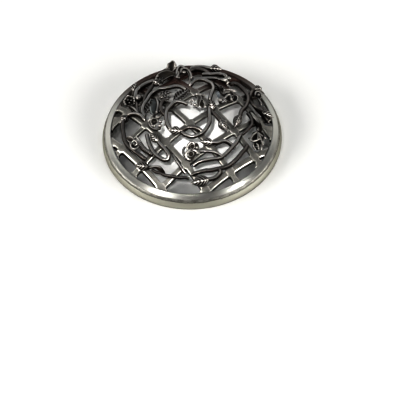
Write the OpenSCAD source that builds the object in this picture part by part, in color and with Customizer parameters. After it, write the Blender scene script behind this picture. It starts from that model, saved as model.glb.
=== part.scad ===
// Round floor drain grate: a stepped rim ring carries a domed square lattice of
// half-lapped bars, and flowering vines are brazed over the lattice.
// Millimetres, +Z up. The origin is the centre of the rim's underside.

/* [Rim] */
// Outer diameter of the rim at the floor
rim_d = 127; // [110:1:150]
// Clear diameter inside the rim, which the bars bridge
opening_d = 114; // [96:1:116]
// Height of the rim's polished band above the floor
rim_h = 10; // [9:0.2:14]
// Height of the straight land at the foot of the rim
land_h = 2.4; // [1:0.2:4]
// Thickness of the skirt under the polished band
skirt_t = 3.4; // [2.4:0.2:5]

/* [Lattice] */
// Rise of the dome from its seat in the rim to its crown
dome_rise = 17; // [10:0.2:24]
// Width of one bar
bar_w = 3.8; // [3:0.1:6]
// Depth of one bar, measured towards the centre of the dome
bar_h = 3.2; // [2.6:0.1:4.6]
// Distance between neighbouring bars
pitch = 22; // [20:0.5:24]
// Offset of the middle bar of each family from the centre of the rim
middle_bar = -5; // [-6:0.5:0]
// Turn of the lattice in plan
lattice_turn = 37; // [0:1:89]
// How far the crossing bars lie below the through bars
cross_drop = 0.4; // [0:0.1:1]

/* [Vines] */
// Diameter of a slender tendril
tendril_d = 2.2; // [1.6:0.1:2.6]
// Diameter of an ordinary stem
stem_d = 2.9; // [2.2:0.1:3.4]
// Diameter of a stout stem
stout_d = 3.6; // [2.8:0.1:4.2]
// Diameter of a leaf bud at its widest
bud_d = 5.4; // [4:0.1:6]
// Diameter of the big leaf bud at the front
big_bud_d = 7; // [5.4:0.1:8]

/* [Hidden] */
$fn = 96;
eps = 0.01;

// Rim
rim_r = rim_d / 2;
opening_r = opening_d / 2;
band_edge_r = rim_r - 1.3;
band_edge_z = rim_h - 3.8;
band_crown_r = opening_r + 0.8;
flange_t = 3.8;

// Dome: the bars' tops lie on a sphere that meets the rim at the seat
seat_r = opening_r + 0.5;
seat_z = rim_h - 0.5;
dome_r = (seat_r * seat_r + dome_rise * dome_rise) / (2 * dome_rise);
dome_centre = seat_z + dome_rise - dome_r;
half_lap_r = dome_r - cross_drop - (bar_h - cross_drop) / 2;
bar_count = 5;
bar_offsets = [for (i = [0 : bar_count - 1]) middle_bar + (i - 2) * pitch];

// Sweep of a vine
ring_sides = 8;
rings_per_span = 2;
end_taper = 0.62;

// Colours
pewter = [0.62, 0.61, 0.58];
polished = [0.80, 0.80, 0.80];
antique = [0.42, 0.41, 0.39];
burnished = [0.70, 0.68, 0.64];

// ---- places on the dome ----

// Height of the bars' tops above the floor at a place in plan
function dome_z(x, y) = dome_centre + sqrt(dome_r * dome_r - x * x - y * y);

// A place given as [x, y, height above the middle of the bars' depth]
function at(p) = [p[0], p[1], dome_z(p[0], p[1]) - bar_h / 2 + p[2]];

// ---- vines ----

// Catmull-Rom curve between b and c
function curve(a, b, c, d, t) =
    0.5 * (2 * b + (c - a) * t
        + (2 * a - 5 * b + 4 * c - d) * t * t
        + (3 * b - a - 3 * c + d) * t * t * t);

// Points along the smooth curve through a route
function along(p) =
    let (last = len(p) - 1)
    [for (i = [0 : last - 1], k = [0 : rings_per_span - 1])
        curve(p[max(i - 1, 0)], p[i], p[i + 1], p[min(i + 2, last)], k / rings_per_span),
     p[last]];

function unit(v) = v / norm(v);

// One ring of the sweep, square to the curve's direction
function ring(centre, direction, r) =
    let (side = unit(cross(direction, [0, 0, 1])), up = cross(side, direction))
    [for (k = [0 : ring_sides - 1])
        let (turn = 360 * (k + 0.5) / ring_sides)
        centre + r * cos(turn) * side + r * sin(turn) * up];

// Skin joining rings of n points each into one closed solid
module skin(rings) {
    n = len(rings[0]);
    last = len(rings) - 1;
    sides = [for (i = [0 : last - 1], k = [0 : n - 1])
        let (a = i * n + k, b = i * n + (k + 1) % n)
        each [[a, b, b + n], [a, b + n, a + n]]];
    start_cap = [for (k = [0 : n - 1]) n - 1 - k];
    end_cap = [for (k = [0 : n - 1]) last * n + k];
    polyhedron(
        points = [for (r = rings) each r],
        faces = concat([start_cap], sides, [end_cap]));
}

// A round stem swept along a route of places on the dome, slimmer at both ends
module vine(route, d) {
    path = along([for (p = route) at(p)]);
    last = len(path) - 1;
    skin([for (i = [0 : last])
        ring(path[i],
            unit(path[min(i + 1, last)] - path[max(i - 1, 0)]),
            d / 2 * (i == 0 || i == last ? end_taper : 1))]);
}

// ---- buds and flowers ----

// Stand the children's +Z axis along the line from one place to another
module aim(from, to) {
    v = to - from;
    translate(from)
        rotate([0, acos(v[2] / norm(v)), atan2(v[1], v[0])])
            children();
}

// A pointed drop of the given length along +Z, blunt at its foot
module drop(length, d) {
    steps = 9;
    outline = [for (i = [0 : steps])
        let (t = i / steps)
        [d / 2 * (0.3 * (1 - t) + sin(180 * pow(t, 0.75))), t * length]];
    rotate_extrude() polygon(concat([[0, 0]], outline, [[0, length]]));
}

// A closed leaf bud from its foot to its tip
module leaf_bud(foot, tip, d = bud_d) {
    aim(at(foot), at(tip)) drop(norm(at(tip) - at(foot)), d);
}

// An open blossom: a lobed bell, skinned up its outside and down into its throat.
// Each station of the bell is [share of the mouth's radius, share of its height, lobe depth].
module blossom(foot, tip, petals, mouth_d) {
    height = norm(at(tip) - at(foot));
    facets = petals * 6;
    bell = [
        [0.20, 0.00, 0.00], [0.42, 0.12, 0.05], [0.36, 0.30, 0.10], [0.50, 0.55, 0.25],
        [0.80, 0.85, 0.45], [1.00, 0.98, 0.55], [0.92, 1.00, 0.55], [0.60, 0.80, 0.40],
        [0.30, 0.55, 0.15], [0.12, 0.45, 0.00]];
    aim(at(foot), at(tip))
        skin([for (station = bell)
            [for (k = [0 : facets - 1])
                let (turn = -360 * k / facets,
                    lobe = 1 - station[2] * (1 - abs(cos(turn * petals / 2))),
                    r = mouth_d / 2 * station[0] * lobe)
                [r * cos(turn), r * sin(turn), height * station[1]]]]);
}

// A trumpet flower: a flared horn with a hollow mouth
module trumpet(foot, tip, mouth_d) {
    reach = norm(at(tip) - at(foot));
    foot_r = 0.9;
    wall = 0.63;
    steps = 8;
    throat_step = 3;
    flare = [for (i = [0 : steps])
        let (t = i / steps)
        [foot_r + (mouth_d / 2 - foot_r) * pow(t, 1.8), t * reach]];
    throat = [for (i = [steps : -1 : throat_step]) [flare[i][0] - wall, flare[i][1] + eps]];
    aim(at(foot), at(tip))
        rotate_extrude()
            polygon(concat([[0, 0]], flare, throat, [[0, throat[len(throat) - 1][1]]]));
}

// ---- frame ----

// Rim: a skirt with a straight land, and a crowned band flanged inwards over it
module rim_ring() {
    color(polished)
        rotate_extrude($fn = 180)
            polygon([
                [rim_r - skirt_t, 0],
                [rim_r, 0],
                [rim_r, land_h],
                [band_edge_r + 0.2, band_edge_z - 0.5],
                [band_edge_r, band_edge_z],
                [band_edge_r - 0.3, band_edge_z + 0.7],
                [band_edge_r - 1.2, rim_h - 1.9],
                [band_edge_r - 2.4, rim_h - 0.8],
                [band_crown_r + 0.6, rim_h - 0.1],
                [band_crown_r, rim_h],
                [opening_r + 0.3, rim_h - 0.1],
                [opening_r, rim_h - 0.5],
                [opening_r, rim_h - 0.5 - flange_t],
                [opening_r + 1, rim_h - 1 - flange_t],
                [rim_r - skirt_t, rim_h - 1.4 - flange_t]
            ]);
}

// Part of space inside one bar's two sides
module bar_sides(turn, offset, width) {
    rotate([0, 0, turn])
        translate([offset - width / 2, -rim_r, 0])
            cube([width, rim_d, dome_r]);
}

module dome_ball(r) {
    translate([0, 0, dome_centre]) sphere(r = r, $fn = 180);
}

// A through bar runs whole over the crossings and is notched from below
module through_bar(i) {
    color(antique)
        difference() {
            intersection() {
                bar_sides(lattice_turn, bar_offsets[i], bar_w);
                cylinder(r = opening_r, h = dome_r);
                dome_ball(dome_r);
            }
            dome_ball(dome_r - bar_h);
            intersection() {
                dome_ball(half_lap_r);
                union() {
                    for (offset = bar_offsets)
                        bar_sides(lattice_turn + 90, offset, bar_w);
                }
            }
        }
}

// A cross bar passes under the through bars and is notched from above
module cross_bar(i) {
    color(antique)
        difference() {
            intersection() {
                bar_sides(lattice_turn + 90, bar_offsets[i], bar_w);
                cylinder(r = opening_r, h = dome_r);
                dome_ball(dome_r - cross_drop);
            }
            dome_ball(dome_r - bar_h);
            difference() {
                for (offset = bar_offsets)
                    bar_sides(lattice_turn, offset, bar_w);
                dome_ball(half_lap_r);
            }
        }
}

module through_bar_1() { through_bar(0); }
module through_bar_2() { through_bar(1); }
module through_bar_3() { through_bar(2); }
module through_bar_4() { through_bar(3); }
module through_bar_5() { through_bar(4); }
module cross_bar_1() { cross_bar(0); }
module cross_bar_2() { cross_bar(1); }
module cross_bar_3() { cross_bar(2); }
module cross_bar_4() { cross_bar(3); }
module cross_bar_5() { cross_bar(4); }

// ---- left side ----

// Long stem down the left side
module vine_left_outer() {
    color(antique) vine([
        [-46, 9, 2.5], [-48, 4.5, 3], [-48.5, -1, 3], [-48, -6, 3], [-47.5, -10.5, 3],
        [-46, -15, 3], [-43.5, -19.5, 3], [-40, -23.5, 3], [-36.5, -27, 2.5],
        [-33, -30.5, 1.5]], stem_d);
}

// Short loop over the left window
module vine_left_loop() {
    color(burnished) vine([
        [-45, 9.5, 2.5], [-42, 9.5, 3], [-38.5, 8, 3], [-36, 6, 3], [-34, 3.5, 2.5],
        [-32.5, 0.5, 1.2]], stem_d);
}

// Twining stem of the left flower
module vine_left_flower_stem() {
    color(antique) vine([
        [-38, -16, 3], [-36.5, -19, 3], [-34.5, -22.5, 3], [-32.5, -25, 3],
        [-30, -27, 2.5], [-27.5, -28.5, 1.4]], stout_d);
}

// Narrow twisted loop left of the front
module vine_twisted_loop() {
    color(burnished) vine([
        [-24, -20, 3], [-21.5, -23.5, 3], [-19, -27, 3], [-17.5, -29.5, 3], [-16.5, -32, 3],
        [-17.5, -34, 2.5], [-20, -34, 2.5], [-23, -32, 2.5], [-26, -29, 2.5],
        [-28.5, -24.5, 2.5], [-30, -20, 2.5], [-31, -15, 2], [-31.5, -11, 1.4]], stem_d);
}

// Twisted stem of the lower left bud
module vine_lower_left() {
    color(burnished) vine([
        [-32, -37, 3], [-29, -37.5, 3], [-26, -38, 3], [-23.5, -39.5, 3], [-21.5, -42, 2.5],
        [-20, -44.5, 1.8]], stem_d);
}

// Slender tendril along the front left
module vine_front_left() {
    color(antique) vine([
        [-29, -38, 1.4], [-26.5, -40.5, 2], [-23, -42.5, 2.6], [-20, -44.5, 3],
        [-15, -46, 3], [-10, -47.5, 3], [-6, -47.5, 2.6], [-3, -48, 1.6]], tendril_d);
}

// Tendril that follows a through bar to the front
module vine_along_bar() {
    color(burnished) vine([
        [-14, -30, 1], [-12.5, -33.5, 1.8], [-10, -37.5, 1.8], [-8, -41, 1.8],
        [-5.5, -44.5, 1.2]], tendril_d);
}

// ---- upper left ----

// Long bright arc over the upper left windows
module vine_upper_left_arc() {
    color(burnished) vine([
        [-32.5, 4, 1.4], [-34, 8, 2.6], [-34, 11, 3], [-33, 15, 3], [-30, 20, 3.2],
        [-28.5, 23.5, 3.2], [-26, 26.5, 3.2], [-22, 28.5, 3.2], [-18, 28.5, 3], [-14, 29, 3],
        [-9.5, 29.5, 3], [-6, 28.5, 2.2], [-3, 26, 1]], stem_d);
}

// Stem inside that arc
module vine_upper_left_inner() {
    color(antique) vine([
        [-32.5, 17, 0.8], [-32.5, 21, 1.4], [-31.5, 25.5, 2], [-30, 28.5, 2],
        [-28, 32, 2.5], [-26.5, 35, 2.8], [-25, 38, 2.4], [-23, 40.5, 1.8]], stem_d);
}

// Stout bright arc behind it
module vine_upper_left_stout() {
    color(burnished) vine([
        [-39, 26, 1.4], [-38.5, 30, 2.6], [-38, 33, 3.2], [-36.5, 35, 3.4], [-34, 37, 3.6],
        [-31, 38.5, 3.8], [-28, 39.5, 4], [-24.5, 40, 4]], stout_d);
}

// Stem of the bud that leans on the rim
module vine_rim_bud_stem() {
    color(antique) vine([
        [-40, 36, 2.2], [-40.5, 32, 2], [-39.5, 27, 2], [-39, 22, 2.4], [-38, 19, 2.6],
        [-38, 15, 2.6], [-37.5, 12, 2.2], [-36.5, 8.5, 1.6]], tendril_d);
}

// Stem of the left trumpet flower
module vine_trumpet_stem() {
    color(burnished) vine([
        [-43.5, 19.5, 2.4], [-41.5, 16, 3], [-39.5, 13, 3], [-38, 10, 2.6],
        [-36.5, 6.5, 1.4]], tendril_d);
}

// Stem that climbs to the tall flower at the back
module vine_back_flower_stem() {
    color(burnished) vine([
        [-23.5, 44, 1.6], [-22.5, 47, 3], [-20.5, 48, 5], [-18, 47.5, 7], [-15.5, 47, 8.6],
        [-13.5, 46.5, 9]], stem_d);
}

// Stem that stands beside the central ring
module vine_beside_ring() {
    color(antique) vine([
        [-18, 1.5, 1.4], [-20, 5, 2.4], [-21, 8, 3], [-20.5, 12, 3], [-19, 15, 3.2],
        [-16.5, 16.5, 2.4]], stem_d);
}

// ---- centre ----

// Big open ring in the middle of the dome
module vine_centre_ring() {
    color(burnished) vine([
        [-2, 9.5, 1.8], [-4.5, 10.5, 3], [-7.5, 11.5, 3.4], [-10, 12, 3.4], [-12, 11, 3.4],
        [-14, 8.5, 3.4], [-16.5, 5, 3.4], [-17.5, 1, 3.4], [-17.5, -3, 3.4], [-17, -6.5, 3.2],
        [-16, -9.5, 3], [-14.5, -12, 2.4]], stem_d);
}

// Lower side of the eye-shaped loop
module vine_eye_lower() {
    color(burnished) vine([
        [-7.5, -15, 3], [-4, -18, 3], [0, -19.5, 3], [4, -18.5, 3], [8, -16, 3],
        [10.5, -12.5, 3], [12.5, -8.5, 3], [13, -5, 3], [13, -1, 3], [13, 3, 2.6],
        [12.5, 7, 2]], stem_d);
}

// Upper side of the eye-shaped loop
module vine_eye_upper() {
    color(antique) vine([
        [-8, -15, 3.4], [-5, -13, 3.4], [-1, -12, 3.4], [3, -13, 3.4],
        [6, -14.5, 3], [8.5, -17, 2]], stem_d);
}

// Tall loop above the middle
module vine_top_loop() {
    color(burnished) vine([
        [0, 30.5, 1.2], [2.5, 34, 2.4], [5, 36, 3], [8, 36.5, 3], [10.5, 36, 3],
        [13, 34, 3], [15.5, 31.5, 3], [16.5, 28, 3], [16.5, 25, 3], [15.5, 21.5, 2.6],
        [14.5, 18, 2], [13.5, 14, 1.4]], stem_d);
}

// ---- back ----

// Stout dark stem across the back
module vine_back_stout() {
    color(antique) vine([
        [-1, 49, 1.6], [1.5, 51.5, 2.4], [5, 52.5, 3], [8, 51.5, 3], [11, 49.5, 3],
        [13, 47, 2.6], [15, 43.5, 1.8]], stout_d);
}

// Stem that lies along the back of the rim
module vine_back_rim() {
    color(burnished) vine([
        [1, 52.5, 3.8], [3.5, 54, 4], [6.5, 55, 4], [10, 55, 4], [13.5, 54, 4],
        [16, 53, 4]], stem_d);
}

// Narrow loop that stands behind the top
module vine_back_loop() {
    color(burnished) vine([
        [-8.5, 42, 1.6], [-9, 46, 3], [-8.5, 50, 4.2], [-7.5, 53.5, 5], [-6, 55, 5.4],
        [-4, 54, 5], [-2.5, 50.5, 4.2], [-1, 47, 3.6], [0, 43.5, 3], [0.5, 39, 2.6],
        [0.5, 34, 2], [0, 30, 1]], tendril_d);
}

// Stem of the back right cup
module vine_back_right() {
    color(burnished) vine([
        [9, 46, 1.4], [13, 45, 2.4], [16, 44.5, 3], [20, 45.5, 3], [24, 45.5, 3],
        [27, 43.5, 2.8]], stem_d);
}

// Stem of the right trumpet flower
module vine_right_trumpet_stem() {
    color(burnished) vine([
        [8, 38.5, 1.6], [12, 38.5, 2.6], [16, 38.5, 3], [19.5, 38.5, 3.2]], stem_d);
}

// ---- right side ----

// Stem inside the upper right
module vine_upper_right_inner() {
    color(antique) vine([
        [16.5, 34.5, 1.6], [19, 31.5, 2.4], [20.5, 28, 2.6], [21.5, 24.5, 2.6],
        [23, 21.5, 2.4], [24.5, 19, 2]], stem_d);
}

// Long arc down the right side to the right bud
module vine_right_arc() {
    color(antique) vine([
        [28.5, 34, 1.4], [31, 35.5, 2.4], [34, 34.5, 3], [36.5, 32, 3], [39, 28, 3],
        [40.5, 24, 3], [41, 19.5, 3], [40, 14.5, 2.6], [38.5, 10.5, 2.4], [36, 6.5, 2.6],
        [35, 3, 3], [34.5, 0, 3.2]], stem_d);
}

// Stout twisted stem along the right rim
module vine_right_braid() {
    color(antique) vine([
        [47.5, 32, 4.4], [45, 29, 3.8], [43, 25.5, 3.4], [42, 22, 3.2], [42.5, 18.5, 3],
        [44, 15, 3], [46, 12, 3], [48.5, 9.5, 3], [51, 7, 3], [53, 4.5, 2.2],
        [54.5, 1.5, 1.4]], stout_d);
}

// Twisted stem of the right flower
module vine_right_twist() {
    color(burnished) vine([
        [42, 8, 1.4], [43.5, 4.5, 2.8], [44.5, 1, 3.4], [46, -2, 3.4], [47.5, -6, 3.4],
        [47, -10, 3.2]], stout_d);
}

// Bow inside the right flower's stem
module vine_right_inner() {
    color(antique) vine([
        [39.5, 6, 1.4], [41.5, 2.5, 2.4], [42.5, -1, 3], [42.5, -5, 3], [40.5, -8.5, 3],
        [37.5, -12, 2.4], [35, -14.5, 1.4]], tendril_d);
}

// Stem of the small bud right of the centre
module vine_small_bud_stem() {
    color(antique) vine([
        [14, 4.5, 1.4], [15.5, 1, 2.4], [17, -1, 3], [19, -3.5, 3], [20.5, -6.5, 3]], stem_d);
}

// ---- front ----

// Long sweep from the right to the front
module vine_lower_sweep() {
    color(burnished) vine([
        [34.5, -14.5, 1.2], [33, -17.5, 2.4], [31, -22, 3], [28, -26, 3], [24.5, -30, 3],
        [21.5, -33, 3], [18.5, -35, 3], [13, -36, 3], [7.5, -37, 3], [3.5, -38, 2.6],
        [0, -40, 1.6]], stem_d);
}

// Longer sweep in front of it
module vine_front_sweep() {
    color(antique) vine([
        [38.5, -21, 1.2], [37, -25.5, 2.4], [34.5, -29, 3], [31.5, -33, 3], [28.5, -36.5, 3],
        [26, -38.5, 3], [23, -40.5, 3], [18.5, -42, 3], [12.5, -43.5, 3], [7.5, -44, 3],
        [2, -45, 2.6], [-1.5, -46, 1.6]], stem_d);
}

// Short bright stem above the sweeps
module vine_lower_short() {
    color(burnished) vine([
        [4, -30, 2], [8.5, -30.5, 3], [14, -31, 3.2], [17, -32, 3.4], [20, -34, 4]], tendril_d);
}

// Stem of the bud in the middle of the front
module vine_mid_bud_stem() {
    color(burnished) vine([
        [13.5, -24, 3], [17.5, -24, 3], [21, -22.5, 3], [24, -22.5, 3], [27, -24, 2.4],
        [29.5, -26.5, 1.6]], stem_d);
}

// Hooked stem of the front bud
module vine_front_hook() {
    color(burnished) vine([
        [9.5, -49.5, 3], [14, -48.5, 3], [17, -46.5, 3], [18.5, -44.5, 3.4],
        [17.5, -42.5, 4]], stem_d);
}

// ---- leaf buds ----

module leaf_buds_left() {
    color(pewter) {
        leaf_bud([-44.5, 9.5, 2.6], [-51, 5, 2.6]);
        leaf_bud([-23.5, -20.5, 3], [-29.5, -11.5, 3.4]);
        leaf_bud([-31, -37, 3], [-41.5, -32.5, 3]);
    }
}

module leaf_buds_back() {
    color(pewter) {
        leaf_bud([-40, 35, 2.2], [-38, 44.5, 5]);
        leaf_bud([-25.5, 40, 4], [-20.5, 33.5, 3.6]);
        leaf_bud([15, 53, 4], [24, 52.5, 4.6]);
    }
}

module leaf_buds_centre() {
    color(pewter) {
        leaf_bud([-7.5, -14.5, 3], [-17, -12, 3]);
        leaf_bud([15.5, 4, 2.4], [14, 13.5, 3.6]);
        leaf_bud([20, -5.5, 3], [25, -15, 3]);
        leaf_bud([14.5, -24, 3], [5, -23.5, 3.4]);
    }
}

module leaf_buds_right() {
    color(pewter) {
        leaf_bud([34.5, 1, 3.2], [29.5, -11, 3]);
        leaf_bud([46.5, 31, 4.4], [51.5, 35, 6]);
        leaf_bud([49, 9, 3], [58.5, 6.5, 4]);
        leaf_bud([10.5, -49.5, 3], [-3, -52, 3.6], big_bud_d);
    }
}

// ---- flowers ----

// Tall flower that stands above the back of the rim
module flower_back() {
    color(antique) blossom([-13, 46.5, 7], [-11.5, 50.5, 14.5], 5, 8);
}

module flower_left_trumpet() {
    color(antique) trumpet([-43, 27.5, 1.6], [-43, 21.5, 5.4], 8.4);
}

module flower_left() {
    color(pewter) blossom([-36.5, -19.5, 3], [-41.5, -14.5, 4.6], 5, 10);
}

module flower_centre_left() {
    color(pewter) blossom([-25, 2, 2], [-26, -5, 4.4], 5, 8);
}

module flower_upper_centre() {
    color(burnished) blossom([7, 6, 2.2], [6.5, 16.5, 5], 5, 9);
}

module flower_upper_right() {
    color(pewter) blossom([26, 14.5, 2.4], [28.5, 21.5, 6], 6, 11);
}

module flower_right_rim() {
    color(burnished) blossom([47.5, 23, 2.4], [49.5, 29.5, 4.8], 5, 6);
}

module flower_right() {
    color(pewter) blossom([47, -9.5, 3.2], [45.5, -22, 4.6], 6, 12);
}

module flower_lower_centre() {
    color(pewter) blossom([-1, -25, 2.4], [-0.5, -33, 5], 6, 11);
}

module flower_right_trumpet() {
    color(burnished) trumpet([19.5, 38.5, 3.2], [28.5, 35.5, 4], 7);
}

rim_ring();
through_bar_1();
through_bar_2();
through_bar_3();
through_bar_4();
through_bar_5();
cross_bar_1();
cross_bar_2();
cross_bar_3();
cross_bar_4();
cross_bar_5();
vine_left_outer();
vine_left_loop();
vine_upper_left_arc();
vine_upper_left_inner();
vine_upper_left_stout();
vine_rim_bud_stem();
vine_trumpet_stem();
vine_centre_ring();
vine_eye_lower();
vine_eye_upper();
vine_beside_ring();
vine_back_flower_stem();
vine_back_stout();
vine_back_rim();
vine_back_loop();
vine_back_right();
vine_right_trumpet_stem();
vine_top_loop();
vine_upper_right_inner();
vine_right_arc();
vine_right_braid();
vine_right_twist();
vine_right_inner();
vine_lower_sweep();
vine_front_sweep();
vine_lower_short();
vine_mid_bud_stem();
vine_small_bud_stem();
vine_front_hook();
vine_left_flower_stem();
vine_twisted_loop();
vine_lower_left();
vine_front_left();
vine_along_bar();
leaf_buds_left();
leaf_buds_back();
leaf_buds_centre();
leaf_buds_right();
flower_back();
flower_left_trumpet();
flower_left();
flower_centre_left();
flower_upper_centre();
flower_upper_right();
flower_right_rim();
flower_right();
flower_lower_centre();
flower_right_trumpet();
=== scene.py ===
"""Floor drain grate: a stepped rim, a domed lattice of half-lapped bars and flowering vines."""

import math

import bmesh
import bpy
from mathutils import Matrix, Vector, noise


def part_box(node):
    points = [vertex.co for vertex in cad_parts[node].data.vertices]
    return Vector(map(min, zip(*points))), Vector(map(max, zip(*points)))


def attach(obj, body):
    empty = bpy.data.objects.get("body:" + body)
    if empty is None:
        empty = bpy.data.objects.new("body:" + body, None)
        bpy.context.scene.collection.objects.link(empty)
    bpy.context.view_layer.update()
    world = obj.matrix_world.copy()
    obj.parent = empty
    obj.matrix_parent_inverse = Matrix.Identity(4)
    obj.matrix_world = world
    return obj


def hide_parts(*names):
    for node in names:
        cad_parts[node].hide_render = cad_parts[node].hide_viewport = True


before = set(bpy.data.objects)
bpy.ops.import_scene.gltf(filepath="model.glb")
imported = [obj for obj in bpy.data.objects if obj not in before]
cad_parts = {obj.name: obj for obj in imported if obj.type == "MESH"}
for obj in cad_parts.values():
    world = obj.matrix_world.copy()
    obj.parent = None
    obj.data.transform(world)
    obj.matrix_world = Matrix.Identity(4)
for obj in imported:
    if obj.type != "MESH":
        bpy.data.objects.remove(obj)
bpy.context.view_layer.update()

MM = 0.001

# ---- sizes in millimetres: the rim's come from the frame, the dome's repeat the part's ----
RIM_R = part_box("rim_ring")[1].x / MM
RIM_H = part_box("rim_ring")[1].z / MM
OPENING_R = RIM_R - 6.5
SEAT_R = OPENING_R + 0.5
SEAT_Z = RIM_H - 0.5
DOME_RISE = 17
DOME_R = (SEAT_R**2 + DOME_RISE**2) / (2 * DOME_RISE)
DOME_CENTRE = SEAT_Z + DOME_RISE - DOME_R

BAR_W = 3.8
BAR_H = 3.2
CROSS_DROP = 0.4
LATTICE_TURN = 37
BAR_OFFSETS = (-49, -27, -5, 17, 39)

TENDRIL, STEM, STOUT = 2.2, 2.9, 3.6
BUD_D, BIG_BUD_D = 5.4, 7.0


# ---------------------------------------------------------------- materials

# Pattern scales, per metre: uneven clouds, casting grain and pits
CLOUD_SCALE, GRAIN_SCALE, PIT_SCALE = 240.0, 1900.0, 900.0
# How strongly clouds and grain disturb the wear
CLOUD_WEAR, GRAIN_WEAR = 0.7, 0.35


def add(tree, kind, inputs=None, **settings):
    """A new shader node, with its settings and its inputs, which are values or sockets."""
    node = tree.nodes.new("ShaderNode" + kind)
    for key, value in settings.items():
        setattr(node, key, value)
    for key, value in (inputs or {}).items():
        if isinstance(value, bpy.types.NodeSocket):
            tree.links.new(value, node.inputs[key])
        else:
            node.inputs[key].default_value = value
    return node


def maths(tree, operation, a, b):
    node = add(tree, "Math", {0: a, 1: b}, operation=operation)
    return node.outputs[0]


def remap(tree, value, low, high, to_low=0.0, to_high=1.0):
    node = add(tree, "MapRange", {"Value": value, "From Min": low, "From Max": high,
                                  "To Min": to_low, "To Max": to_high})
    node.interpolation_type = "SMOOTHSTEP"
    return node.outputs[0]


def blend(tree, factor, a, b):
    """Mix of two colours; a and b are RGB triples or sockets."""
    node = add(tree, "Mix", data_type="RGBA")
    for socket, value in ((node.inputs[6], a), (node.inputs[7], b)):
        if isinstance(value, bpy.types.NodeSocket):
            tree.links.new(value, socket)
        else:
            socket.default_value = (*value, 1)
    tree.links.new(factor, node.inputs[0])
    return node.outputs[2]


def add_noise(tree, place, scale, detail, roughness):
    return add(tree, "TexNoise", {"Vector": place, "Scale": scale, "Detail": detail,
                                  "Roughness": roughness}).outputs["Fac"]


def centred(tree, pattern, strength):
    """A pattern from 0 to 1, moved to lie round 0 and scaled."""
    return maths(tree, "MULTIPLY", maths(tree, "SUBTRACT", pattern, 0.5), strength)


def add_shine(tree, uneven, speckle, keep, patina_and_shade_reach):
    """How bright the metal is: by its wear value, which holds rubbing and, on tops, painted light,
    dimmed by ambient occlusion in corners and under other parts, which is partly patina and partly
    painted shade.
    """
    wear_and_painted_light = add(tree, "Attribute", attribute_name="wear_and_painted_light").outputs["Fac"]
    rubbed_and_lit = maths(tree, "ADD", wear_and_painted_light, maths(tree, "ADD", uneven, speckle))
    # Ambient occlusion: painted shade in corners and under other parts, partly standing for patina
    # kept in hollows.
    corner = add(tree, "AmbientOcclusion", {"Distance": patina_and_shade_reach}, samples=6).outputs["AO"]
    shine = remap(tree, rubbed_and_lit, keep[0], keep[1])
    return maths(tree, "MULTIPLY", shine, remap(tree, corner, 0.25, 0.8))


def add_relief(tree, place, cloud, grain, relief):
    """Bump from the clouds, the grain and small pits, relief metres deep."""
    pits = add(tree, "TexVoronoi", {"Vector": place, "Scale": PIT_SCALE}).outputs["Distance"]
    height = maths(tree, "ADD", maths(tree, "MULTIPLY", cloud, 0.6),
                   maths(tree, "ADD", maths(tree, "MULTIPLY", grain, 0.3),
                         remap(tree, pits, 0.0, 0.25, -0.12, 0.0)))
    bump = add(tree, "Bump", {"Height": height, "Strength": 0.6, "Distance": relief})
    return bump.outputs[0]


def add_back_reflection(tree, place, uneven, colour, back_reflection):
    """Lay a painted reflection of dark brown surroundings behind the grate over the metal's colour,
    from its first to its second place in Y.
    """
    depth = add(tree, "SeparateXYZ", {"Vector": place}).outputs["Y"]
    spread = maths(tree, "ADD", depth, maths(tree, "MULTIPLY", uneven, 0.012))
    return blend(tree, remap(tree, spread, back_reflection[0], back_reflection[1]), colour, back_reflection[2])


def antique_metal(name, dark, bright, rough, keep, patina_and_shade_reach=0.003, relief=0.00005,
                  brown=(0.020, 0.013, 0.008), back_reflection=None, mottle=1.0):
    """Blackened metal, bright where the piece's wear value is high: rubbing, and on the tops of
    stems, buds, beads and horns a painted highlight.

    rough is the roughness of dark and of bright metal, keep the range of wear over which dark
    turns bright, cavity the reach of the darkening in corners and under other parts, partly patina
    and partly painted shade, brown the second tone of the dark, and tarnish where a painted
    reflection of dark brown surroundings behind the grate sets in along Y and its colour, if any."""
    material = bpy.data.materials.new(name)
    material.use_nodes = True
    tree = material.node_tree
    tree.nodes.clear()
    place = add(tree, "TexCoord").outputs["Object"]
    cloud = add_noise(tree, place, CLOUD_SCALE, 5.0, 0.62)
    grain = add_noise(tree, place, GRAIN_SCALE, 3.0, 0.6)
    uneven = centred(tree, cloud, CLOUD_WEAR * mottle)
    speckle = centred(tree, grain, GRAIN_WEAR * mottle)
    shine = add_shine(tree, uneven, speckle, keep, patina_and_shade_reach)
    oxide = blend(tree, remap(tree, cloud, 0.35, 0.7), dark, brown)
    colour = blend(tree, shine, oxide, bright)
    if back_reflection is not None:
        colour = add_back_reflection(tree, place, uneven, colour, back_reflection)
    roughness = maths(tree, "ADD", remap(tree, shine, 0, 1, rough[0], rough[1]),
                      maths(tree, "MULTIPLY", speckle, 0.25))
    shader = add(tree, "BsdfPrincipled", {
        "Base Color": colour, "Metallic": remap(tree, shine, 0, 1, 0.6, 1.0),
        "Roughness": roughness, "Normal": add_relief(tree, place, cloud, grain, relief),
        "Specular IOR Level": 0.25, "Specular Tint": (0.5, 0.49, 0.47, 1)})
    output = add(tree, "OutputMaterial")
    tree.links.new(shader.outputs[0], output.inputs[0])
    return material


def floor_paint():
    material = bpy.data.materials.new("pale_floor")
    material.use_nodes = True
    shader = material.node_tree.nodes["Principled BSDF"]
    shader.inputs["Base Color"].default_value = (0.90, 0.893, 0.87, 1)
    shader.inputs["Roughness"].default_value = 0.7
    return material


# The band's brown towards the back, from 20 mm in Y, is a painted reflection of dark surroundings
# behind the grate.
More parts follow.
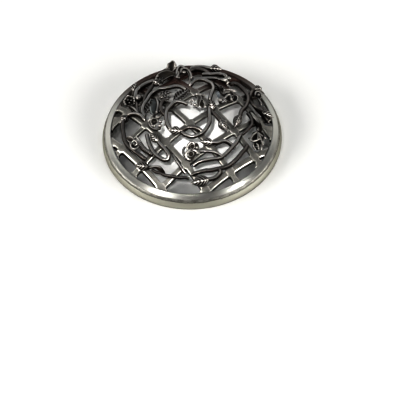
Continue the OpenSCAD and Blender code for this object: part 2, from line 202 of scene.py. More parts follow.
BAND = antique_metal("polished_band", (0.28, 0.275, 0.25), (0.60, 0.59, 0.55), (0.44, 0.30),
                     (0.0, 0.5), 0.002, 0.00001, back_reflection=(0.020, 0.052, (0.145, 0.112, 0.102)),
                     mottle=0.5)
SKIRT = antique_metal("satin_skirt", (0.12, 0.117, 0.10), (0.47, 0.46, 0.405), (0.6, 0.45),
                      (0.1, 0.5), 0.002, 0.00004)
# The bars' brown towards the back, from 18 mm in Y, is a painted reflection of dark surroundings
# behind the grate.
BAR = antique_metal("rubbed_bar", (0.020, 0.018, 0.016), (0.60, 0.585, 0.54), (0.45, 0.32),
                    (-0.05, 1.0), back_reflection=(0.018, 0.038, (0.14, 0.092, 0.078)), mottle=0.6)
DARK_VINE = antique_metal("antique_vine", (0.012, 0.010, 0.009), (0.28, 0.26, 0.24),
                          (0.42, 0.28), (0.32, 1.0), mottle=0.3)
BRIGHT_VINE = antique_metal("burnished_vine", (0.016, 0.014, 0.012), (0.52, 0.50, 0.47),
                            (0.42, 0.30), (0.42, 0.92), mottle=0.3)
BUD = antique_metal("bud_metal", (0.030, 0.027, 0.024), (0.55, 0.53, 0.50), (0.45, 0.34),
                    (0.2, 0.9), 0.0006, brown=(0.030, 0.024, 0.018), mottle=0.3)
FLOWER = antique_metal("flower_metal", (0.050, 0.047, 0.044), (0.50, 0.48, 0.45),
                       (0.45, 0.34), (0.1, 1.0), 0.0006, brown=(0.045, 0.038, 0.030), mottle=0.3)
LILY = antique_metal("smooth_lily", (0.13, 0.14, 0.14), (0.46, 0.48, 0.48), (0.34, 0.24),
                     (0.0, 0.9), 0.001, 0.00001, brown=(0.10, 0.10, 0.09), mottle=0.3)


# ---------------------------------------------------------------- mesh helpers

def dome_z(x, y, sunk=0.0):
    """Height of the dome that lies sunk mm under the bars' tops, at a place in plan."""
    return DOME_CENTRE + math.sqrt((DOME_R - sunk)**2 - x * x - y * y)


def on_dome(place):
    """A place given as (x, y, height above the middle of the bars' depth)."""
    x, y, up = place
    return Vector((x, y, dome_z(x, y) - BAR_H / 2 + up))


def add_rows(bm, rings, wear_and_painted_light):
    """Vertices for rings of points in mm, as rows. wear gives each point's value, ring by ring."""
    layer = bm.verts.layers.float.get("wear_and_painted_light") or bm.verts.layers.float.new("wear_and_painted_light")
    rows = []
    for ring, values in zip(rings, wear_and_painted_light):
        row = []
        for point, value in zip(ring, values):
            vert = bm.verts.new(point * MM)
            vert[layer] = value
            row.append(vert)
        rows.append(row)
    return rows, layer


def add_skin(bm, rings, wear_and_painted_light):
    """Skin rings of points into bm, closed at both ends."""
    rows, layer = add_rows(bm, rings, wear_and_painted_light)
    count = len(rows[0])
    for low, high in zip(rows, rows[1:]):
        for k in range(count):
            n = (k + 1) % count
            bm.faces.new((low[k], low[n], high[n], high[k]))
    for row, step in ((rows[0], -1), (rows[-1], 1)):
        tip = bm.verts.new(sum((v.co for v in row), Vector()) / count)
        tip[layer] = sum(v[layer] for v in row) / count
        for k in range(count):
            pair = (row[k], row[(k + 1) % count])
            bm.faces.new((pair if step > 0 else pair[::-1]) + (tip,))


def link_object(name, data):
    made = bpy.data.objects.new(name, data)
    bpy.context.scene.collection.objects.link(made)
    return made


def finish_piece(name, bm, materials, nodes=()):
    """Turn bm into an object that rides on the grate and stands for the given CAD nodes."""
    bmesh.ops.recalc_face_normals(bm, faces=bm.faces)
    mesh = bpy.data.meshes.new(name)
    bm.to_mesh(mesh)
    bm.free()
    mesh.polygons.foreach_set("use_smooth", [True] * len(mesh.polygons))
    for material in materials:
        mesh.materials.append(material)
    piece = link_object(name, mesh)
    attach(piece, "root")
    if nodes:
        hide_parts(*nodes)


def smooth_path(points, per_span):
    """Catmull-Rom curve through the points, with per_span points in each span."""
    last = len(points) - 1
    path = []
    for i in range(last):
        a, b = points[max(i - 1, 0)], points[i]
        c, d = points[i + 1], points[min(i + 2, last)]
        for k in range(per_span):
            t = k / per_span
            path.append(0.5 * (2 * b + (c - a) * t + (2 * a - 5 * b + 4 * c - d) * t**2
                               + (3 * b - a - 3 * c + d) * t**3))
    return path + [points[last]]


def axes(direction):
    """Two directions square to the given one: sideways, and as near up as can be."""
    side = direction.cross(Vector((0, 0, 1)))
    side = side.normalized() if side.length > 1e-4 else Vector((1, 0, 0))
    return side, side.cross(direction)


def tangent(path, i):
    ahead = path[min(i + 1, len(path) - 1)]
    return (ahead - path[max(i - 1, 0)]).normalized()


def rounded_end(share, span):
    """Thickness of a rounded end: 1 in the middle, falling to 0.3 over span at both ends."""
    edge = min(share, 1 - share) / span
    if edge >= 1:
        return 1.0
    return 0.3 + 0.7 * math.sqrt(max(0.0, 1 - (1 - edge)**2))


# ---------------------------------------------------------------- rim

RIM_STEPS = 288
# Rim profile, outwards from the skirt's inner foot: (inwards from the outer radius, height,
# wear). The band's crown is an arc, added between its edge and its lip.
SKIRT_PROFILE = [
    (3.4, 4.8, 0.1), (3.4, 0.3, 0.2), (3.2, 0.0, 0.4), (0.25, 0.0, 0.6), (0.0, 0.25, 0.8),
    (0.0, 1.2, 0.6), (0.02, 2.4, 0.6), (0.35, 3.4, 0.6), (0.7, 4.4, 0.55), (1.0, 5.3, 0.5),
    (1.15, 5.75, 0.3), (1.42, 5.95, 0.0)]
BAND_PROFILE = [
    (1.42, 5.95, 0.0), (1.46, 6.12, 0.0), (1.32, 6.3, 0.15), (1.36, 6.65, 0.1), (1.5, 7.1, 0.1),
    (1.8, 7.5, 0.12), (2.25, 7.85, 0.2), (2.9, 8.2, 0.55), (3.6, 8.55, 0.8), (4.3, 8.91, 0.85),
    (5.0, 9.29, 0.9), (5.6, 9.64, 1.0), (5.95, 9.84, 1.0), (6.25, 9.86, 0.9), (6.45, 9.7, 0.7),
    (6.5, 9.45, 0.4), (6.5, 8.6, 0.15), (6.5, 6.1, 0.1), (6.3, 5.75, 0.1), (5.5, 5.3, 0.1),
    (3.4, 4.8, 0.1)]


def lathe(bm, profile, material_index):
    """Turn a profile of (inset, height, wear) round the rim's axis."""
    rings, wear_and_painted_light = [], []
    for i in range(RIM_STEPS):
        turn = 2 * math.pi * i / RIM_STEPS
        direction = Vector((math.cos(turn), math.sin(turn), 0))
        rings.append([direction * (RIM_R - inset) + Vector((0, 0, z)) for inset, z, _ in profile])
        wear_and_painted_light.append([w for _, _, w in profile])
    rows, _ = add_rows(bm, rings, wear_and_painted_light)
    for i, row in enumerate(rows):
        after = rows[(i + 1) % RIM_STEPS]
        for k in range(len(profile) - 1):
            face = bm.faces.new((row[k], after[k], after[k + 1], row[k + 1]))
            face.material_index = material_index


def build_rim():
    bm = bmesh.new()
    lathe(bm, SKIRT_PROFILE, 1)
    lathe(bm, BAND_PROFILE, 0)
    bmesh.ops.remove_doubles(bm, verts=bm.verts, dist=1e-7)
    finish_piece("rim", bm, [BAND, SKIRT], ["rim_ring"])


# ---------------------------------------------------------------- lattice

FILLET = 1.4
END_FILLET = 3.0
# A slanting bar's narrow corner with the rim is cast solid where it is this narrow, and the
# rest of its window opens over the next stretch.
WEB_SHUT, WEB_OPEN = 3.4, 4.6
WEB_SLANTS = (0.6, 0.8)
# How deep a web and a bar's spread sides reach into the rim
BURIED_END = 1.6
# The bars' tops are rubbed a little brighter near the rim
TRODDEN_R, TRODDEN_SPAN, TRODDEN_WEAR = 46, 9, 0.06
# How far past the opening a bar runs into the rim, and the unevenness of its surface
END_LAP = 0.9
WOBBLE = 0.05
BAR_STEP = 0.5
BAR_EDGE = 0.55
# Half of a bar's outline from its top's middle: (share of half width, inset, depth, wear)
BAR_OUTLINE = [
    (0.0, 0, -0.06, 0.35), (0.55, 0, -0.05, 0.38), (1, BAR_EDGE, 0, 0.7),
    (1, 0.3 * BAR_EDGE, 0.14 * BAR_EDGE, 1.15), (1, 0.06 * BAR_EDGE, 0.45 * BAR_EDGE, 1.1),
    (1, 0, BAR_EDGE, 0.6), (1, 0, 1.5, 0.2), (1, 0, BAR_H - 0.4, 0.1), (1, 0.4, BAR_H, 0.1),
    (0.0, 0, BAR_H, 0.0)]


def fillet(gap, radius):
    """How far a bar's side swells at a gap from the bar or rim that it meets."""
    if gap >= radius:
        return 0.0
    gap = max(gap, 0.0)
    return radius - math.sqrt(radius**2 - (radius - gap)**2)


def web(offset, along, side):
    """How far the outer side of a slanting bar spreads to close its corner with the rim."""
    edge = side * offset + BAR_W / 2
    if not WEB_SLANTS[0] < edge / OPENING_R < WEB_SLANTS[1]:
        return 0.0
    gap = OPENING_R - math.hypot(edge, along)
    across = math.sqrt(max(OPENING_R**2 - along**2, 0.0)) - edge
    open_share = min(max((gap - WEB_SHUT) / (WEB_OPEN - WEB_SHUT), 0.0), 1.0)
    return max(across + BURIED_END, 0.0) * (1 - open_share**2 * (3 - 2 * open_share))


def half_width(offset, along, side, crossings):
    """Half width of a bar on one side, at a distance along it."""
    swell = 0.0
    for crossing in crossings:
        swell = max(swell, fillet(abs(along - crossing) - BAR_W / 2, FILLET))
    edge = min(abs(offset + side * BAR_W / 2), OPENING_R)
    reach = math.sqrt(OPENING_R**2 - edge**2)
    half = BAR_W / 2 + max(swell, web(offset, along, side),
                           fillet(reach - abs(along), END_FILLET))
    room = math.sqrt((OPENING_R + BURIED_END)**2 - along**2) - side * offset
    return min(half, max(room, BAR_W / 2))


def bar_ring(turn, offset, along, drop, crossings):
    """Ring of points round a bar at a distance along it, and their wear."""
    across = Vector((math.cos(turn), math.sin(turn), 0))
    forward = Vector((-math.sin(turn), math.cos(turn), 0))
    points, wear_and_painted_light = [], []
    for side, outline in ((1, BAR_OUTLINE), (-1, BAR_OUTLINE[-2:0:-1])):
        half = half_width(offset, along, side, crossings)
        for share, inset, depth, bright_level in outline:
            spot = across * (offset + side * (share * half - inset)) + forward * along
            bottom = depth / BAR_H * (BAR_H - drop)
            wobble = WOBBLE * noise.noise(spot * 0.35)
            z = dome_z(spot.x, spot.y, drop + bottom - wobble)
            points.append(Vector((spot.x, spot.y, z)))
            trodden = min(max((math.hypot(spot.x, spot.y) - TRODDEN_R) / TRODDEN_SPAN, 0.0), 1.0)
            wear_and_painted_light.append(bright_level + TRODDEN_WEAR * trodden * (depth < BAR_EDGE))
    return points, wear_and_painted_light


def build_bar(name, turn, offset, drop, crossings):
    reach = math.sqrt((OPENING_R + END_LAP)**2 - offset**2)
    steps = round(2 * reach / BAR_STEP)
    bm = bmesh.new()
    rings, wear_and_painted_light = [], []
    for i in range(steps + 1):
        points, values = bar_ring(turn, offset, reach * (2 * i / steps - 1), drop, crossings)
        rings.append(points)
        wear_and_painted_light.append(values)
    add_skin(bm, rings, wear_and_painted_light)
    finish_piece(name + "_filed", bm, [BAR], [name])


def build_lattice():
    turn = math.radians(LATTICE_TURN)
    for i, offset in enumerate(BAR_OFFSETS):
        build_bar(f"through_bar_{i + 1}", turn, offset, 0, BAR_OFFSETS)
        build_bar(f"cross_bar_{i + 1}", turn + math.pi / 2, offset, CROSS_DROP,
                  [-o for o in BAR_OFFSETS])


# ---------------------------------------------------------------- vines

VINE_SIDES = 14
VINE_RINGS = 6
RIB_PITCH = 1.3

# name: (diameter, finish, surface, route). A route's points are (x, y, height on the dome).
VINES = {
    "vine_left_outer": (STEM, DARK_VINE, "plain", [
        (-46, 9, 2.5), (-48, 4.5, 3), (-48.5, -1, 3), (-48, -6, 3), (-47.5, -10.5, 3),
        (-46, -15, 3), (-43.5, -19.5, 3), (-40, -23.5, 3), (-36.5, -27, 2.5),
        (-33, -30.5, 1.5)]),
    "vine_left_loop": (STEM, BRIGHT_VINE, "plain", [
        (-45, 9.5, 2.5), (-42, 9.5, 3), (-38.5, 8, 3), (-36, 6, 3), (-34, 3.5, 2.5),
        (-32.5, 0.5, 1.2)]),
    "vine_left_flower_stem": (STOUT, BRIGHT_VINE, "ribbed", [
        (-38, -16, 3), (-36.5, -19, 3), (-34.5, -22.5, 3), (-32.5, -25, 3),
        (-30, -27, 2.5), (-27.5, -28.5, 1.4)]),
    "vine_twisted_loop": (STEM, BRIGHT_VINE, "plain", [
        (-24, -20, 3), (-21.5, -23.5, 3), (-19, -27, 3), (-17.5, -29.5, 3), (-16.5, -32, 3),
        (-17.5, -34, 2.5), (-20, -34, 2.5), (-23, -32, 2.5), (-26, -29, 2.5),
        (-28.5, -24.5, 2.5), (-30, -20, 2.5), (-31, -15, 2), (-31.5, -11, 1.4)]),
    "vine_lower_left": (STEM, BRIGHT_VINE, "twist", [
        (-32, -37, 3), (-29, -37.5, 3), (-26, -38, 3), (-23.5, -39.5, 3), (-21.5, -42, 2.5),
        (-20, -44.5, 1.8)]),
    "vine_front_left": (TENDRIL, DARK_VINE, "plain", [
        (-29, -38, 1.4), (-26.5, -40.5, 2), (-23, -42.5, 2.6), (-20, -44.5, 3),
        (-15, -46, 3), (-10, -47.5, 3), (-6, -47.5, 2.6), (-3, -48, 1.6)]),
    "vine_along_bar": (TENDRIL, BRIGHT_VINE, "plain", [
        (-14, -30, 1), (-12.5, -33.5, 1.8), (-10, -37.5, 1.8), (-8, -41, 1.8),
        (-5.5, -44.5, 1.2)]),
    "vine_upper_left_arc": (STEM, BRIGHT_VINE, "plain", [
        (-32.5, 4, 1.4), (-34, 8, 2.6), (-34, 11, 3), (-33, 15, 3), (-30, 20, 3.2),
        (-28.5, 23.5, 3.2), (-26, 26.5, 3.2), (-22, 28.5, 3.2), (-18, 28.5, 3), (-14, 29, 3),
        (-9.5, 29.5, 3), (-6, 28.5, 2.2), (-3, 26, 1)]),
    "vine_upper_left_inner": (STEM, DARK_VINE, "plain", [
        (-32.5, 17, 0.8), (-32.5, 21, 1.4), (-31.5, 25.5, 2), (-30, 28.5, 2),
        (-28, 32, 2.5), (-26.5, 35, 2.8), (-25, 38, 2.4), (-23, 40.5, 1.8)]),
    "vine_upper_left_stout": (STOUT, BRIGHT_VINE, "plain", [
        (-39, 26, 1.4), (-38.5, 30, 2.6), (-38, 33, 3.2), (-36.5, 35, 3.4), (-34, 37, 3.6),
        (-31, 38.5, 3.8), (-28, 39.5, 4), (-24.5, 40, 4)]),
    "vine_rim_bud_stem": (TENDRIL, DARK_VINE, "plain", [
        (-40, 36, 2.2), (-40.5, 32, 2), (-39.5, 27, 2), (-39, 22, 2.4), (-38, 19, 2.6),
        (-38, 15, 2.6), (-37.5, 12, 2.2), (-36.5, 8.5, 1.6)]),
    "vine_trumpet_stem": (TENDRIL, BRIGHT_VINE, "plain", [
        (-43.5, 19.5, 2.4), (-41.5, 16, 3), (-39.5, 13, 3), (-38, 10, 2.6),
        (-36.5, 6.5, 1.4)]),
    "vine_back_flower_stem": (STEM, BRIGHT_VINE, "plain", [
        (-23.5, 44, 1.6), (-22.5, 47, 3), (-20.5, 48, 5), (-18, 47.5, 7), (-15.5, 47, 8.6),
        (-13.5, 46.5, 9)]),
    "vine_beside_ring": (STEM, DARK_VINE, "plain", [
        (-18, 1.5, 1.4), (-20, 5, 2.4), (-21, 8, 3), (-20.5, 12, 3), (-19, 15, 3.2),
        (-16.5, 16.5, 2.4)]),
    "vine_centre_ring": (STEM, BRIGHT_VINE, "plain", [
        (-2, 9.5, 1.8), (-4.5, 10.5, 3), (-7.5, 11.5, 3.4), (-10, 12, 3.4), (-12, 11, 3.4),
        (-14, 8.5, 3.4), (-16.5, 5, 3.4), (-17.5, 1, 3.4), (-17.5, -3, 3.4), (-17, -6.5, 3.2),
        (-16, -9.5, 3), (-14.5, -12, 2.4)]),
    "vine_eye_lower": (STEM, BRIGHT_VINE, "plain", [
        (-7.5, -15, 3), (-4, -18, 3), (0, -19.5, 3), (4, -18.5, 3), (8, -16, 3),
        (10.5, -12.5, 3), (12.5, -8.5, 3), (13, -5, 3), (13, -1, 3), (13, 3, 2.6),
        (12.5, 7, 2)]),
    "vine_eye_upper": (STEM, DARK_VINE, "plain", [
        (-8, -15, 3.4), (-5, -13, 3.4), (-1, -12, 3.4), (3, -13, 3.4),
        (6, -14.5, 3), (8.5, -17, 2)]),
    "vine_top_loop": (STEM, BRIGHT_VINE, "plain", [
        (0, 30.5, 1.2), (2.5, 34, 2.4), (5, 36, 3), (8, 36.5, 3), (10.5, 36, 3),
        (13, 34, 3), (15.5, 31.5, 3), (16.5, 28, 3), (16.5, 25, 3), (15.5, 21.5, 2.6),
        (14.5, 18, 2), (13.5, 14, 1.4)]),
    "vine_back_stout": (STOUT, DARK_VINE, "plain", [
        (-1, 49, 1.6), (1.5, 51.5, 2.4), (5, 52.5, 3), (8, 51.5, 3), (11, 49.5, 3),
        (13, 47, 2.6), (15, 43.5, 1.8)]),
    "vine_back_rim": (STEM, BRIGHT_VINE, "plain", [
        (1, 52.5, 3.8), (3.5, 54, 4), (6.5, 55, 4), (10, 55, 4), (13.5, 54, 4),
        (16, 53, 4)]),
    "vine_back_loop": (TENDRIL, BRIGHT_VINE, "plain", [
        (-8.5, 42, 1.6), (-9, 46, 3), (-8.5, 50, 4.2), (-7.5, 53.5, 5), (-6, 55, 5.4),
        (-4, 54, 5), (-2.5, 50.5, 4.2), (-1, 47, 3.6), (0, 43.5, 3), (0.5, 39, 2.6),
        (0.5, 34, 2), (0, 30, 1)]),
    "vine_back_right": (STEM, BRIGHT_VINE, "plain", [
        (9, 46, 1.4), (13, 45, 2.4), (16, 44.5, 3), (20, 45.5, 3), (24, 45.5, 3),
        (27, 43.5, 2.8)]),
    "vine_right_trumpet_stem": (STEM, BRIGHT_VINE, "plain", [
        (8, 38.5, 1.6), (12, 38.5, 2.6), (16, 38.5, 3), (19.5, 38.5, 3.2)]),
    "vine_upper_right_inner": (STEM, DARK_VINE, "twist", [
        (16.5, 34.5, 1.6), (19, 31.5, 2.4), (20.5, 28, 2.6), (21.5, 24.5, 2.6),
        (23, 21.5, 2.4), (24.5, 19, 2)]),
    "vine_right_arc": (STEM, DARK_VINE, "plain", [
        (28.5, 34, 1.4), (31, 35.5, 2.4), (34, 34.5, 3), (36.5, 32, 3), (39, 28, 3),
        (40.5, 24, 3), (41, 19.5, 3), (40, 14.5, 2.6), (38.5, 10.5, 2.4), (36, 6.5, 2.6),
        (35, 3, 3), (34.5, 0, 3.2)]),
    "vine_right_braid": (STOUT, DARK_VINE, "twist", [
        (47.5, 32, 4.4), (45, 29, 3.8), (43, 25.5, 3.4), (42, 22, 3.2), (42.5, 18.5, 3),
        (44, 15, 3), (46, 12, 3), (48.5, 9.5, 3), (51, 7, 3), (53, 4.5, 2.2),
        (54.5, 1.5, 1.4)]),
    "vine_right_twist": (STOUT, BRIGHT_VINE, "twist", [
        (42, 8, 1.4), (43.5, 4.5, 2.8), (44.5, 1, 3.4), (46, -2, 3.4), (47.5, -6, 3.4),
        (47, -10, 3.2)]),
    "vine_right_inner": (TENDRIL, DARK_VINE, "plain", [
        (39.5, 6, 1.4), (41.5, 2.5, 2.4), (42.5, -1, 3), (42.5, -5, 3), (40.5, -8.5, 3),
        (37.5, -12, 2.4), (35, -14.5, 1.4)]),
    "vine_small_bud_stem": (STEM, DARK_VINE, "plain", [
        (14, 4.5, 1.4), (15.5, 1, 2.4), (17, -1, 3), (19, -3.5, 3), (20.5, -6.5, 3)]),
    "vine_lower_sweep": (STEM, BRIGHT_VINE, "plain", [
        (34.5, -14.5, 1.2), (33, -17.5, 2.4), (31, -22, 3), (28, -26, 3), (24.5, -30, 3),
        (21.5, -33, 3), (18.5, -35, 3), (13, -36, 3), (7.5, -37, 3), (3.5, -38, 2.6),
        (0, -40, 1.6)]),
    "vine_front_sweep": (STEM, DARK_VINE, "plain", [
        (38.5, -21, 1.2), (37, -25.5, 2.4), (34.5, -29, 3), (31.5, -33, 3), (28.5, -36.5, 3),
        (26, -38.5, 3), (23, -40.5, 3), (18.5, -42, 3), (12.5, -43.5, 3), (7.5, -44, 3),
        (2, -45, 2.6), (-1.5, -46, 1.6)]),
    "vine_lower_short": (TENDRIL, BRIGHT_VINE, "plain", [
        (4, -30, 2), (8.5, -30.5, 3), (14, -31, 3.2), (17, -32, 3.4), (20, -34, 4)]),
    "vine_mid_bud_stem": (STEM, BRIGHT_VINE, "plain", [
        (13.5, -24, 3), (17.5, -24, 3), (21, -22.5, 3), (24, -22.5, 3), (27, -24, 2.4),
        (29.5, -26.5, 1.6)]),
    "vine_front_hook": (STEM, BRIGHT_VINE, "plain", [
        (9.5, -49.5, 3), (14, -48.5, 3), (17, -46.5, 3), (18.5, -44.5, 3.4),
        (17.5, -42.5, 4)]),
}


def add_stem(bm, points, diameter, surface="plain", end_span=1.4, shine=0.0):
    """A hand-rolled stem along points in mm: slightly uneven, rounded at both ends."""
    path = smooth_path(points, VINE_RINGS)
    lengths = [0.0]
    for a, b in zip(path, path[1:]):
        lengths.append(lengths[-1] + (b - a).length)
    total = lengths[-1]
    rings, wear_and_painted_light = [], []
    for i, centre in enumerate(path):
        direction = tangent(path, i)
        side, up = axes(direction)
        uneven = 1.04 + 0.12 * noise.noise(centre * 0.12)
        radius = diameter / 2 * uneven * rounded_end(lengths[i] / total, end_span / total)
        ring, values = [], []
        for k in range(VINE_SIDES):
            turn = 2 * math.pi * (k + 0.5) / VINE_SIDES
            crest = 1.0
            if surface == "twist":
                crest = 0.88 + 0.17 * math.cos(2 * turn - 1.5 * lengths[i] / diameter)
            elif surface == "ribbed":
                crest = 0.92 + 0.13 * math.cos(2 * math.pi * lengths[i] / RIB_PITCH)
            spoke = side * math.cos(turn) + up * math.sin(turn)
            ring.append(centre + spoke * radius * crest)
            # Painted light: the top of the stem is brightened as a painted highlight and the
            # underside kept dark as painted shade, on top of the rubbed brightness.
            bright_level = shine - 0.3 + 1.3 * max(0.0, spoke.z)**1.3
            values.append(bright_level + 2.0 * (crest - 1) * (surface != "plain"))
        rings.append(ring)
        wear_and_painted_light.append(values)
    add_skin(bm, rings, wear_and_painted_light)


def build_vines():
    for name, (diameter, finish, surface, route) in VINES.items():
        bm = bmesh.new()
        add_stem(bm, [on_dome(p) for p in route], diameter, surface)
        finish_piece(name + "_stem", bm, [finish], [name])


# ---------------------------------------------------------------- leaf buds

VIEW_UP = Vector((0, -0.55, 0.83))
BUD_SIDES = 32
BUD_RINGS = 40
VEIN_PITCH = 2.2

# CAD node: buds as (foot, tip, diameter)
BUDS = {
    "leaf_buds_left": [
        ((-44.5, 9.5, 2.6), (-51, 5, 2.6), BUD_D), ((-23.5, -20.5, 3), (-29.5, -11.5, 3.4), BUD_D),
        ((-31, -37, 3), (-41.5, -32.5, 3), BUD_D)],
    "leaf_buds_back": [
        ((-40, 35, 2.2), (-38, 44.5, 5), BUD_D), ((-25.5, 40, 4), (-20.5, 33.5, 3.6), BUD_D),
        ((15, 53, 4), (24, 52.5, 4.6), BUD_D)],
    "leaf_buds_centre": [
        ((-7.5, -14.5, 3), (-17, -12, 3), BUD_D), ((15.5, 4, 2.4), (14, 13.5, 3.6), BUD_D),
        ((20, -5.5, 3), (25, -15, 3), BUD_D), ((14.5, -24, 3), (5, -23.5, 3.4), BUD_D)],
    "leaf_buds_right": [
        ((34.5, 1, 3.2), (29.5, -11, 3), BUD_D), ((46.5, 31, 4.4), (51.5, 35, 6), BUD_D),
        ((49, 9, 3), (58.5, 6.5, 4), BUD_D), ((10.5, -49.5, 3), (-3, -52, 3.6), BIG_BUD_D)],
}


def add_bud(bm, foot, tip, diameter):
    """A closed leaf bud with a midrib and herringbone veins that stand up from it."""
    axis = (tip - foot).normalized()
    side = axis.cross(VIEW_UP).normalized()
    up = side.cross(axis)
    length = (tip - foot).length
    rows = round(length / VEIN_PITCH)
    rings, wear_and_painted_light = [], []
    for i in range(BUD_RINGS + 1):
        t = i / BUD_RINGS
        base = diameter / 2 * (0.3 * (1 - t) + math.sin(math.pi * min(t, 0.995)**0.75))
        base = max(base, 0.12)
        ring, values = [], []
        for k in range(BUD_SIDES):
            turn = 2 * math.pi * k / BUD_SIDES
            off_top = abs(math.remainder(turn - math.pi / 2, 2 * math.pi)) / math.pi
            vein = 0.5 + 0.5 * math.cos(2 * math.pi * (t * rows - 4.5 * off_top))
            midrib = math.exp(-(off_top / 0.06)**2)
            relief = 0.72 + 0.32 * max(vein, midrib) * math.sin(math.pi * min(t + 0.08, 1))
            spoke = side * math.cos(turn) + up * math.sin(turn) * 0.85
            ring.append(foot + axis * (length * t) + spoke * base * relief)
            # Painted light: the bud's top is brightened a little as a painted highlight; the veins
            # and midrib are rubbed bright.
            values.append(-0.35 + 0.4 * max(0.0, spoke.z) + 1.1 * max(vein, midrib)**2)
        rings.append(ring)
        wear_and_painted_light.append(values)
    add_skin(bm, rings, wear_and_painted_light)


def build_buds():
    for node, buds in BUDS.items():
        for i, (foot, tip, diameter) in enumerate(buds):
            bm = bmesh.new()
            add_bud(bm, on_dome(foot), on_dome(tip), diameter)
            finish_piece(f"{node}_{i + 1}", bm, [BUD], [node])


# ---------------------------------------------------------------- flowers

PETAL_SIDES, PETAL_RINGS = 20, 8
CUP_SIDES = 28
BALL_SIDES, BALL_RINGS = 14, 10
LEAF_SIDES, LEAF_RINGS = 20, 24


def add_petal(bm, route, width, cup, shine, thick=0.7):
    """A cast petal along a route on the dome, cupped across, with thicker and brighter edges."""
    path = smooth_path([on_dome(p) for p in route], PETAL_RINGS)
    last = len(path) - 1
    rings, wear_and_painted_light = [], []
    for i, centre in enumerate(path):
        v = i / last
        across = tangent(path, i).cross(VIEW_UP).normalized()
        face = across.cross(tangent(path, i))
        half = width / 2 * math.sin(math.pi * (0.1 + 0.86 * v)**0.8)
        ring, values = [], []
        for k in range(PETAL_SIDES):
            a = 2 * math.pi * k / PETAL_SIDES
            share = math.cos(a)
            edge = abs(share)**3
            lift = thick / 2 * math.sin(a) * (1 + 0.8 * edge) + cup * share**2 * half
            ring.append(centre + across * half * share + face * lift)
            values.append(shine - 0.1 + 1.1 * edge)
        rings.append(ring)
        wear_and_painted_light.append(values)
    add_skin(bm, rings, wear_and_painted_light)


# A cup from its foot, up its outside, over its lip and down inside: (radius, depth, wear)
CUP_OUTLINE = [
    (0.25, 1.0, 0.0), (0.62, 0.86, 0.15), (0.86, 0.5, 0.3), (0.97, 0.16, 0.55), (1.06, 0.0, 1.0),
    (1.02, -0.1, 1.1), (0.90, -0.06, 1.0), (0.80, 0.12, 0.2), (0.66, 0.42, -0.3),
    (0.32, 0.62, -0.4)]


def add_cup(bm, centre, radius):
    """A round cup with a thick wavy lip and a dark hollow, open forwards and up."""
    axis = VIEW_UP.normalized()
    side, up = axes(axis)
    rings, wear_and_painted_light = [], []
    for share, depth, bright_level in CUP_OUTLINE:
        ring, values = [], []
        for k in range(CUP_SIDES):
            turn = 2 * math.pi * k / CUP_SIDES
            wave = math.sin(3 * turn + centre.x)
            spoke = side * math.cos(turn) + up * math.sin(turn)
            lip = max(0.0, share - 0.5)
            ring.append(centre + spoke * radius * share * (1 + 0.12 * lip * wave)
                        - axis * radius * (1.1 * depth + 0.3 * lip * wave))
            values.append(bright_level)
        rings.append(ring)
        wear_and_painted_light.append(values)
    add_skin(bm, rings, wear_and_painted_light)


def add_ball(bm, centre, radius):
    """A slightly lumpy cast bead."""
    rings, wear_and_painted_light = [], []
    for i in range(1, BALL_RINGS):
        lift = math.pi * i / BALL_RINGS
        ring = []
        for k in range(BALL_SIDES):
            turn = 2 * math.pi * k / BALL_SIDES
            spoke = Vector((math.cos(turn) * math.sin(lift), math.sin(turn) * math.sin(lift),
                            math.cos(lift)))
            lump = 1 + 0.12 * noise.noise(spoke * 1.5 + centre)
            ring.append(centre + spoke * radius * lump)
        rings.append(ring)
        # Painted light: the bead is brighter towards its top, a painted highlight, and darker
        # underneath, painted shade.
        wear_and_painted_light.append([0.1 + 0.7 * max(0.0, math.cos(lift))] * BALL_SIDES)
    add_skin(bm, rings, wear_and_painted_light)


